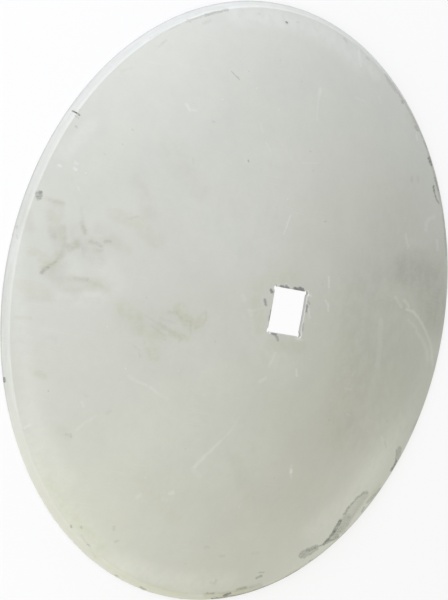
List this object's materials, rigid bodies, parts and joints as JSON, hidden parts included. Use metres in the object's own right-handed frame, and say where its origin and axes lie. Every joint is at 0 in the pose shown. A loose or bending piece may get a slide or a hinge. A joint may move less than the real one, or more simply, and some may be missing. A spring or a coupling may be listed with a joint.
{
  "type": "harrow disc blade",
  "caption": "Round dished steel disc blade for a disc harrow, with a square centre hole for the gang shaft and a bevelled cutting edge on the bulging side.",
  "frame": {"origin": "centre of the circle that the rim stands on, at the level of the disc's lowest point", "axes": "+Z along the disc's axis, out of the bulging side; +X and +Y square to the sides of the centre hole"},
  "size_m": [0.56, 0.56, 0.0675],
  "materials": {
    "painted_steel": "thin pale grey-green paint, semi-gloss, lightly scratched and scuffed"
  },
  "bodies": {
    "root": {"disc_blade": "painted_steel"}
  },
  "joints": []
}
